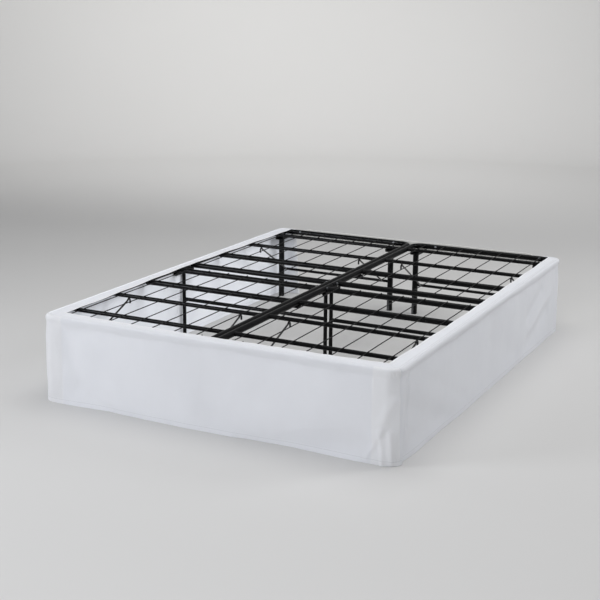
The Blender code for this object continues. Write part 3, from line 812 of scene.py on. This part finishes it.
def build_side_drop(settings, name, side):
    """A side drop, from its underlap behind the foot drop to its return on the head side."""

    def surface(along, row):
        inset, height = hang(name, along, row, settings)
        lap = np.clip((SIDE_START + 0.03 - along) / 0.035, 0, 1) * (row < SHOULDER_Z)
        inset = inset + lap * (CLOTH + LAP_GAP)
        past = np.clip((along - RETURN_START) / (RETURN_TOP - HEAD_CORNER), 0, 1)
        lean = np.clip(1 - height / SHOULDER_Z, 0, 1) * (RETURN_FLOOR - RETURN_TOP)
        x, y = outline(side * (along + past * lean), inset)
        points = np.stack([x, y, height - drop_seam(row)], axis=1)
        doubled = smooth_step(RETURN_START + 0.035, RETURN_START + 0.037, along)
        return points, drop_stitches(row, settings), doubled

    emerge = WRAP + 2 * LAP_GAP
    pitch = settings.grid
    columns = joined(
        steps(FOOT_RUN - UNDERLAP, FOOT_RUN, pitch),
        steps(FOOT_RUN, emerge, pitch),
        steps(emerge, SIDE_START + 0.08, pitch / 1.5),
        steps(SIDE_START + 0.08, SIDE_END, pitch),
        steps(SIDE_END, RETURN_START, pitch / 1.5),
        steps(RETURN_START, RETURN_START + RETURN_TOP - HEAD_CORNER, pitch),
    )

    def over_the_lap(along, row):
        return (along < emerge) & (row > SHOULDER_Z - 0.021)

    add_sheet(
        f"{name}_drop",
        columns[::side],
        drop_rows(settings),
        surface,
        plain_weave(settings),
        f"drop_{name}",
        left_out=over_the_lap,
    )


def band_facts(x, y, row, far, sag):
    """A top band's points, distance to its stitches and share of doubled cloth.

    Its height is flat on the rail, sags inwards of it, dips to the seam and steps up at the hem. Row is
    the distance from the seam and far from the free edge.
    """
    past_rail = smooth_step(SHOULDER + 0.010, BAND_WIDTH - 0.012, row + BAND_INSET)
    hem = 0.0003 * (1 - smooth_step(BAND_HEM - 0.001, BAND_HEM + 0.001, far))
    z = SKIRT_TOP - past_rail * sag - SEAM_DIP * bell(row, 0, SEAM_WIDTH) + hem - 0.0003
    stitches = nearest_edge(row - SEAM_STITCH, BAND_HEM - 0.001 - far)
    return np.stack([x, y, z], axis=1), stitches, smooth_step(BAND_HEM + 0.001, BAND_HEM - 0.001, far)


def band_width(name, place):
    """Width of a band at a place along it: its table read in straight lines, averaged over a short reach."""
    places, widths = zip(*BAND_WIDTHS[name])
    return sum(np.interp(place + shift, places, widths) for shift in (-0.04, -0.02, 0, 0.02, 0.04)) / 5


def build_bands(settings):
    """The three flat top bands, mitred at the foot corners and cut square at the head."""
    inner_x, inner_y = HALF_WIDTH - BAND_WIDTH, HALF_LENGTH - BAND_WIDTH
    gap = 0.0002
    gap_along = gap / (FOOT_CORNER - BAND_INSET) * FOOT_CORNER
    shift = gap * math.sqrt(2)
    width = BAND_WIDTH - BAND_INSET
    pitch = settings.grid
    edge = width - 0.014
    rows = np.unique(
        np.concatenate([steps(0, 0.006, 0.0012), steps(0.006, edge, pitch), steps(edge, width, 0.0014)])
    )
    material = plain_weave(settings)

    def foot_band(along, row):
        share = row / width
        x, y = outline(along, np.full_like(along, BAND_INSET))
        inner = x / x.max() * (inner_x - shift)
        breadth = band_width("foot", inner)
        x, y = x + share * (inner - x), y + share * (breadth - HALF_LENGTH - y)
        row = share * (breadth - BAND_INSET)
        sag = 0.0012 * np.sin(math.pi * (np.abs(x) - WIRE_PLACES[0]) / WIRE_PITCH) ** 2
        sag = np.where(np.abs(x) > WIRE_PLACES[-1], 0.0006, sag + 0.0003 * np.sin(x * 31))
        return band_facts(x, y, row, breadth - BAND_INSET - row, np.maximum(sag, 0))

    half = np.concatenate([steps(0, FOOT_RUN, pitch), steps(FOOT_RUN, MITRE - gap_along, pitch / 1.5)[1:]])
    add_sheet(
        "foot_band",
        np.concatenate([-half[:0:-1], half]),
        rows,
        foot_band,
        material,
        "top_band_foot",
    )

    along_side = np.concatenate(
        [
            steps(MITRE + gap_along, SIDE_START, pitch / 1.5),
            steps(SIDE_START, SIDE_END, pitch)[1:],
            steps(SIDE_END, RETURN_START, pitch / 1.5)[1:],
        ]
    )
    tubes = sorted(FOLD_ROW + way * place for place, _ in CROSS_TUBES for _, way in ENDS)
    supports = np.array([-END_RAIL_Y, *tubes, END_RAIL_Y])
    for name, side in (("right", 1), ("left", -1)):

        def side_band(along, row, name=name, side=side):
            share = row / width
            x, y = outline(side * along, np.full_like(along, BAND_INSET))
            start, end = -inner_y + shift, y.max()
            inner = start + (y - y.min()) / (y.max() - y.min()) * (end - start)
            breadth = band_width(name, inner)
            x, y = x + share * (side * (HALF_WIDTH - breadth) - x), y + share * (inner - y)
            row = share * (breadth - BAND_INSET)
            place = np.clip(np.searchsorted(supports, y) - 1, 0, len(supports) - 2)
            span = supports[place + 1] - supports[place]
            within = np.clip((y - supports[place]) / span, 0, 1)
            sag = 0.0022 * np.sin(math.pi * within) ** 2 * np.minimum(1, span / 0.25)
            return band_facts(x, y, row, breadth - BAND_INSET - row, sag + 0.0006)

        add_sheet(
            f"{name}_band",
            along_side[::side],
            rows,
            side_band,
            material,
            f"top_band_{name}",
        )


def build_elastic(settings):
    """The elastic across the outside of the head rails, which dips behind the returns at its ends."""
    reach = HALF_WIDTH - RETURN_TOP + 0.020
    width = 0.038
    outer_y = HALF_LENGTH - CLOTH - 0.0004
    high = node_span("head_band", 2)[1]

    def surface(along, row):
        dip = smooth_step(reach - 0.10, reach - 0.020, np.abs(along))
        hump = 0.0016 * bell(-along, 0.19, 0.10) - 0.0016 * bell(-along, 0.02, 0.05)
        top = high - 0.021 * dip + (0.0004 * np.sin(along * 19) + hump) * (1 - dip)
        points = np.stack([-along, np.full_like(along, outer_y), top - width + row], axis=1)
        return points, np.full_like(along, 1.0), np.zeros_like(along)

    add_sheet(
        "head_elastic",
        steps(-reach, reach, 0.008),
        steps(0, width, 0.003),
        surface,
        ribbed_elastic(settings),
        "head_band",
        slot="elastic",
    )


# -------------------------------------------------------------------------------------------------- frame


def build_rails(settings):
    """The bent end rails and straight side rails of both halves."""
    for half, side, _ in HALVES:
        low, high = sorted((side * INNER_RAIL_X, side * OUTER_RAIL_X))
        bend_y = END_RAIL_Y - RAIL_BEND
        parts = []
        for _, way in ENDS:
            left = arc((low + RAIL_BEND, bend_y), RAIL_BEND, 180, 90, 14)
            right = arc((high - RAIL_BEND, bend_y), RAIL_BEND, 90, 0, 14)
            lead = np.linspace(way * FOLD_ROW + FOLD_GAP / 2, bend_y, 12)[:-1]
            plan = np.concatenate(
                [
                    np.stack([np.full_like(lead, low), lead], axis=1),
                    left,
                    right,
                    np.stack([np.full_like(lead, high), lead[::-1]], axis=1),
                ]
            )
            path = np.column_stack([plan[:, 0], way * plan[:, 1], np.full(len(plan), RAIL_Z)])
            parts.append(carried(path, circle(RAIL_RADIUS, 28), (0, 0, 1)))
        nodes = [f"end_rail_{half}_{end}" for end, _ in ENDS]
        nodes += [f"side_rail_{half}_{place}_{end}" for place in ("inner", "outer") for end, _ in ENDS]
        add_piece(f"rails_{half}", *merged(parts), powder_coat(settings), nodes, "frame")


def build_decks(settings):
    """Cross tubes welded between the side rails, with wires welded on top of them."""
    for half, side, _ in HALVES:
        inner = side * (INNER_RAIL_X + RAIL_RADIUS)
        outer = side * (OUTER_RAIL_X - RAIL_RADIUS)
        for end, way in ENDS:
            parts = []
            for place, radius in CROSS_TUBES:
                y, z = FOLD_ROW + way * place, TUBE_TOP - radius
                sink = side * 0.005
                parts.append(rod((inner - sink, y, z), (outer + sink, y, z), radius))
                for middle in (inner + side * 0.0005, outer - side * 0.0005):
                    weld = np.array([(middle + shift, y, z) for shift in (-0.004, -0.001, 0.001, 0.004)])
                    swell = np.array([0.98, 1.13, 1.13, 0.98])
                    parts.append(carried(weld, circle(radius, 16), (0, 0, 1), swell))
            wire_z = RAIL_TOP - WIRE_RADIUS
            from_y = CROSS_TUBES[0][0] - 0.006 + way * FOLD_ROW
            to_y = END_RAIL_Y - 0.0103
            for index, place in enumerate(WIRE_PLACES):
                y = np.linspace(from_y, to_y, 25)
                stray = 0.0007 * np.sin(y * 9 + index * 2.3 + way + side)
                path = np.column_stack([side * place + stray, way * y, np.full_like(y, wire_z)])
                parts.append(carried(path, circle(WIRE_RADIUS, 10), (0, 0, 1)))
                for tube_y, _ in CROSS_TUBES:
                    parts.append(bead((side * place, FOLD_ROW + way * tube_y, TUBE_TOP), BEAD_SIZE))
            nodes = [f"deck_{half}_{end}"]
            add_piece(f"wire_deck_{half}_{end}", *merged(parts), powder_coat(settings), nodes, "frame")


def build_legs(settings):
    """End legs of square tube under folded brackets, and the bars between them."""
    for half, _, rail_x in HALVES:
        for end, way in ENDS:
            y = way * LEG_ROW
            parts = []
            for place in LEG_PLACES:
                x = rail_x + place
                top = LEG_TOP - 0.004
                path = straight((x, y, 0), (x, y, top), 0.001, (0.004, 0.0045))
                scale = np.array([0.93, 1.04, 1.04, 1, 1, 1])
                parts.append(carried(path, rounded_box(*LEG_SIZE, 0.004), (1, 0, 0), scale))
                middle = x + sum(BRACKET_SPAN) / 2
                low, high = sorted(way * row for row in BRACKET_ROWS[end])
                line = np.array([[middle, low, 0], [middle, high, 0]]) + [0, 0, LEG_TOP - BRACKET_HEIGHT / 2]
                profile = channel(BRACKET_SPAN[1] - BRACKET_SPAN[0], BRACKET_HEIGHT)
                parts.append(carried(line, profile, (1, 0, 0)))
            start = (rail_x + LEG_PLACES[0], y, END_BAR[0])
            finish = (rail_x + LEG_PLACES[1], y, END_BAR[0])
            parts.append(rod(start, finish, END_BAR[1]))
            nodes = [f"leg_{half}_left_{end}", f"leg_{half}_right_{end}", f"leg_bar_{half}_{end}"]
            add_piece(f"legs_{half}_{end}", *merged(parts), powder_coat(settings), nodes, "frame")


def build_middle_legs(settings):
    """Round legs at the fold, with the brackets that carry both parts of a side rail, and their bars."""
    for half, side, _ in HALVES:
        parts = []
        width, depth, height = FOLD_BRACKET
        for x in (side * INNER_RAIL_X, side * OUTER_RAIL_X):
            parts.append(rod((x, FOLD_ROW, 0), (x, FOLD_ROW, LEG_TOP - 0.003), MIDDLE_LEG_RADIUS))
            line = np.array([[x, -depth / 2, 0], [x, depth / 2, 0]]) + [0, FOLD_ROW, LEG_TOP - height / 2]
            parts.append(carried(line, channel(width, height, 0.0035), (1, 0, 0)))
        start = (side * INNER_RAIL_X, FOLD_ROW, MIDDLE_BAR[0])
        finish = (side * OUTER_RAIL_X, FOLD_ROW, MIDDLE_BAR[0])
        parts.append(rod(start, finish, MIDDLE_BAR[1]))
        nodes = [f"middle_leg_{half}_inner", f"middle_leg_{half}_outer", f"middle_bar_{half}"]
        add_piece(f"middle_legs_{half}", *merged(parts), powder_coat(settings), nodes, "frame")


def brace_path(low_x, high_x, way):
    """A brace's line: straight from the leg bar up to the tube, then a half turn and a short drop."""
    distance, tube_radius = CROSS_TUBES[2]
    tube_y = distance + way * FOLD_ROW
    low_y = LEG_ROW - END_BAR[1] - BRACE_RADIUS - 0.0004
    hook_z = TUBE_TOP - 2 * tube_radius - BRACE_RADIUS - HOOK_RADIUS + 0.0003
    turn = np.radians(np.linspace(20, 180, 17))
    hook = np.column_stack([tube_y + HOOK_RADIUS * np.cos(turn), hook_z + HOOK_RADIUS * np.sin(turn)])
    share = np.linspace(0, 1, 12)[:-1, None]
    rise = np.array([low_y, END_BAR[0]]) + share * (hook[0] - [low_y, END_BAR[0]])
    tail = np.array([[tube_y - HOOK_RADIUS, hook_z - HOOK_DROP * t] for t in (0.5, 1.0)])
    line = np.concatenate([rise, hook, tail])
    x = np.concatenate([low_x + share[:, 0] * (high_x - low_x), np.full(len(hook) + len(tail), high_x)])
    return np.column_stack([x, way * line[:, 0], line[:, 1]])


def build_braces(settings):
    """The hooked rods between leg bars and cross tubes, and the clips that hold the halves together."""
    for half, _, rail_x in HALVES:
        for end, way in ENDS:
            for place, (low, high) in zip(("left", "right"), BRACES):
                path = brace_path(rail_x + low, rail_x + high, way)
                shape = carried(path, circle(BRACE_RADIUS, 14), (1, 0, 0))
                name = f"{half}_{place}_{end}"
                add_piece(f"hook_rod_{name}", *shape, glossy_coat(settings), [f"brace_{name}"], "frame")
    for end, way in ENDS:
        node = f"halves_clip_{end}"
        low, high = node_span(node, 2)
        half_x = node_span(node, 0)[1]
        line = np.array([(0, way * CLIP_ROW + shift, (low + high) / 2) for shift in (-0.015, 0.015)])
        shape = carried(line, rounded_box(2 * half_x, high - low, 0.002), (1, 0, 0))
        add_piece(f"clip_{end}", *shape, powder_coat(settings), [node], "frame")


def build_bolts(settings):
    """Zinc-plated bolts: on the inner sides of the end rails, by the fold and through the leg brackets."""
    parts = []
    for _, side, rail_x in HALVES:
        for _, way in ENDS:
            for place in (0.115, 0.650):
                y = way * (END_RAIL_Y - RAIL_RADIUS * 0.94)
                parts.append(bolt((rail_x + place, y, RAIL_Z + 0.004), (0, -way, 0.3)))
            for x, out in ((side * INNER_RAIL_X, side), (side * OUTER_RAIL_X, -side)):
                place = (x + out * RAIL_RADIUS * 0.94, way * 0.050, RAIL_Z + 0.004)
                parts.append(bolt(place, (out, 0, 0.3)))
            for place in LEG_PLACES:
                x = rail_x + place + BRACKET_SPAN[1]
                parts.append(bolt((x, way * LEG_ROW, LEG_TOP - BRACKET_HEIGHT / 2), (1, 0, 0)))
    add_piece("bolts", *merged(parts), zinc_plate(settings))


# -------------------------------------------------------------------------------------------------- stage


def build_floor(settings):
    """A floor that turns up into a round backdrop: height grows as the square of the way past its edge."""
    edge = 6.4
    radius = np.concatenate([np.linspace(0.02, edge, 30), np.linspace(edge + 0.1, edge + 3.2, 40)])
    turn = np.linspace(0, 2 * math.pi, 96, endpoint=False)
    radius = radius[:, None]
    height = 0.45 * np.maximum(radius - edge, 0) ** 2 + 0 * turn
    points = np.stack([radius * np.cos(turn), radius * np.sin(turn), height], axis=2).reshape(-1, 3)
    faces = grid_faces(len(radius), len(turn), around=True)[:, ::-1].tolist() + [list(range(len(turn)))]
    mesh = bpy.data.meshes.new("studio_floor")
    mesh.from_pydata(points.tolist(), [], faces)
    mesh.shade_smooth()
    mesh.materials.append(painted_floor(settings))
    floor = bpy.data.objects.new("studio_floor", mesh)
    bpy.context.scene.collection.objects.link(floor)


def add_light(name, place, target, size, power, colour, spread=180):
    """A soft rectangular light at a place, turned to its target. The spread is in degrees."""
    data = bpy.data.lights.new(name, "AREA")
    data.shape = "RECTANGLE"
    data.size, data.size_y = size
    data.energy = power
    data.color = linear(colour)[:3]
    data.spread = math.radians(spread)
    light = bpy.data.objects.new(name, data)
    light.location = place
    light.rotation_euler = (Vector(target) - Vector(place)).to_track_quat("-Z", "Y").to_euler()
    light.visible_camera = False
    bpy.context.scene.collection.objects.link(light)
    return light


def build_stage(settings):
    """Floor, soft lights, sky and the camera of the photograph."""
    build_floor(settings)
    add_light("front_light", (-2.7, -3.4, 1.8), (-0.1, -0.4, 0.2), (1.4, 1.4), settings.front, "#f6f9ff")
    add_light("right_light", (4.0, 2.4, 3.0), (0.2, 0.2, 0.2), (1.5, 1.5), settings.right, "#fbfcff")
    add_light("overhead_light", (0.2, 0.3, 4.6), (0, 0, 0), (3.6, 3.6), settings.overhead, "#ffffff")
    # Daylight falls on the inner side of the left drop. This light stands for it, and lights nothing else.
    place, target = (1.7, 0.2, 2.0), (-0.77, 0.1, 0.15)
    inside = add_light("inside_light", place, target, (1.4, 1.4), settings.inside, "#f8fbff")
    lit = bpy.data.collections.new("lit_inside")
    lit.objects.link(bpy.data.objects["left_drop"])
    inside.light_linking.receiver_collection = lit
    add_light("corner_light", (1.5, -4.6, 2.3), (0.6, -0.8, 0.2), (1.6, 1.6), settings.corner, "#fbfcff")
    add_light("backdrop_light", (-2.4, 3.6, 4.2), (-3.6, 8.2, 0.6), (5.0, 2.0), settings.back, "#ffffff", 140)
    world = bpy.data.worlds.new("studio_sky")
    world.use_nodes = True
    sky = world.node_tree.nodes["Background"]
    sky.inputs["Color"].default_value = linear("#f1f3f7")
    sky.inputs["Strength"].default_value = settings.sky
    bpy.context.scene.world = world
    bpy.context.scene.view_settings.view_transform = "Standard"
    camera = bpy.data.objects.new("camera", bpy.data.cameras.new("camera"))
    camera.data.lens = CAMERA_LENS
    camera.data.sensor_width = 36
    yaw, pitch, roll = CAMERA_YAW, CAMERA_PITCH, CAMERA_ROLL
    ahead = Vector((-math.sin(yaw) * math.cos(pitch), math.cos(yaw) * math.cos(pitch), -math.sin(pitch)))
    level = Vector((math.cos(yaw), math.sin(yaw), 0))
    up = level.cross(ahead)
    right = math.cos(roll) * level + math.sin(roll) * up
    up = -math.sin(roll) * level + math.cos(roll) * up
    turn = Matrix((right, up, -ahead)).transposed().to_4x4()
    camera.matrix_world = Matrix.Translation(CAMERA_PLACE) @ turn
    bpy.context.scene.collection.objects.link(camera)
    bpy.context.scene.camera = camera


# ---------------------------------------------------------------------------------------------- operators


class BEDSKIRT_OT_bands(bpy.types.Operator):
    """Builds the flat top bands"""

    bl_idname = "bedskirt.bands"
    bl_label = "Top Bands"

    def execute(self, context):
        build_bands(context.scene.bed_skirt)
        return {"FINISHED"}


class BEDSKIRT_OT_drops(bpy.types.Operator):
    """Builds the hanging drops"""

    bl_idname = "bedskirt.drops"
    bl_label = "Drops"

    def execute(self, context):
        settings = context.scene.bed_skirt
        build_foot_drop(settings)
        build_side_drop(settings, "right", 1)
        build_side_drop(settings, "left", -1)
        return {"FINISHED"}


class BEDSKIRT_OT_elastic(bpy.types.Operator):
    """Builds the elastic across the head"""

    bl_idname = "bedskirt.elastic"
    bl_label = "Head Elastic"

    def execute(self, context):
        build_elastic(context.scene.bed_skirt)
        return {"FINISHED"}


class BEDSKIRT_OT_rails(bpy.types.Operator):
    """Builds the frame's rails"""

    bl_idname = "bedskirt.rails"
    bl_label = "Rails"

    def execute(self, context):
        build_rails(context.scene.bed_frame)
        return {"FINISHED"}


class BEDSKIRT_OT_decks(bpy.types.Operator):
    """Builds the cross tubes and wires"""

    bl_idname = "bedskirt.decks"
    bl_label = "Wire Decks"

    def execute(self, context):
        build_decks(context.scene.bed_frame)
        return {"FINISHED"}


class BEDSKIRT_OT_legs(bpy.types.Operator):
    """Builds the legs, their brackets and bars"""

    bl_idname = "bedskirt.legs"
    bl_label = "Legs"

    def execute(self, context):
        build_legs(context.scene.bed_frame)
        build_middle_legs(context.scene.bed_frame)
        return {"FINISHED"}


class BEDSKIRT_OT_braces(bpy.types.Operator):
    """Builds the hooked braces and the clips between the halves"""

    bl_idname = "bedskirt.braces"
    bl_label = "Braces and Clips"

    def execute(self, context):
        build_braces(context.scene.bed_frame)
        return {"FINISHED"}


class BEDSKIRT_OT_bolts(bpy.types.Operator):
    """Builds the bolts"""

    bl_idname = "bedskirt.bolts"
    bl_label = "Bolts"

    def execute(self, context):
        build_bolts(context.scene.bed_frame)
        return {"FINISHED"}


class BEDSKIRT_OT_stage(bpy.types.Operator):
    """Builds the floor, the lights and the camera"""

    bl_idname = "bedskirt.stage"
    bl_label = "Studio"

    def execute(self, context):
        build_stage(context.scene.bed_studio)
        return {"FINISHED"}


OPERATORS = (
    BEDSKIRT_OT_bands,
    BEDSKIRT_OT_drops,
    BEDSKIRT_OT_elastic,
    BEDSKIRT_OT_rails,
    BEDSKIRT_OT_decks,
    BEDSKIRT_OT_legs,
    BEDSKIRT_OT_braces,
    BEDSKIRT_OT_bolts,
    BEDSKIRT_OT_stage,
)


class BEDSKIRT_PT_panel(bpy.types.Panel):
    """Lists the settings and the steps"""

    bl_label = "Bed Skirt"
    bl_idname = "BEDSKIRT_PT_panel"
    bl_space_type = "VIEW_3D"
    bl_region_type = "UI"
    bl_category = "Bed Skirt"

    def draw(self, context):
        for group in (context.scene.bed_skirt, context.scene.bed_frame, context.scene.bed_studio):
            box = self.layout.box()
            for name in group.__annotations__:
                box.prop(group, name)
        for operator in OPERATORS:
            self.layout.operator(operator.bl_idname)


CLASSES = (BedSkirtSettings, BedFrameSettings, StudioSettings, *OPERATORS, BEDSKIRT_PT_panel)


def register():
    for cls in CLASSES:
        bpy.utils.register_class(cls)
    bpy.types.Scene.bed_skirt = bpy.props.PointerProperty(type=BedSkirtSettings)
    bpy.types.Scene.bed_frame = bpy.props.PointerProperty(type=BedFrameSettings)
    bpy.types.Scene.bed_studio = bpy.props.PointerProperty(type=StudioSettings)


def unregister():
    for name in ("bed_skirt", "bed_frame", "bed_studio"):
        delattr(bpy.types.Scene, name)
    for cls in reversed(CLASSES):
        bpy.utils.unregister_class(cls)


def main():
    register()
    for operator in OPERATORS:
        group, name = operator.bl_idname.split(".")
        getattr(getattr(bpy.ops, group), name)()


if __name__ == "__main__":
    main()
